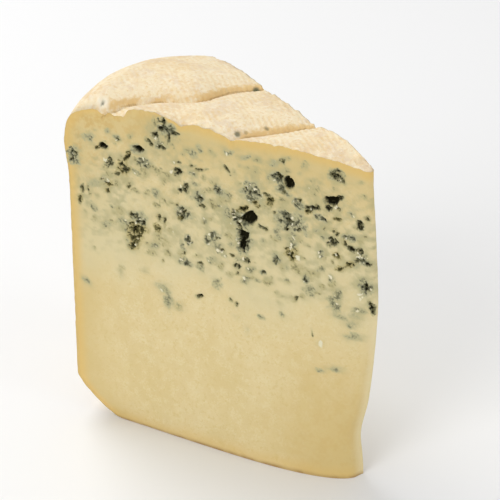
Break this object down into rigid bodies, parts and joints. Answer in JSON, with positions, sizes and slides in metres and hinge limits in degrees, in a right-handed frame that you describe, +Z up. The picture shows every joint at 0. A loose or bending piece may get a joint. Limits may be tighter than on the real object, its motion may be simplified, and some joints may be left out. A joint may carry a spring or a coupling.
{
  "type": "blue cheese wedge",
  "caption": "Standing wedge of smoked blue cheese, cut from a tall round wheel, with its thin rind on the crown, wall and foot and a flat base to rest on.",
  "frame": {"origin": "on the ground under the flat bottom rind, at the middle of the bounding box in plan", "axes": "+Z up, the longest extent; the front cut runs along X and faces -Y; the nose, which was the wheel's centre, points to +X, and the rind's wall is at -X"},
  "size_m": [0.1142, 0.0686, 0.1271],
  "materials": {
    "cheese": "cream-yellow cut paste with dark blue-green mould pockets in its upper part, a smooth waxy sheen on the cuts and a pale, dry, tan-mottled rind"
  },
  "bodies": {
    "root": {"cheese_wedge": "cheese"}
  },
  "joints": []
}
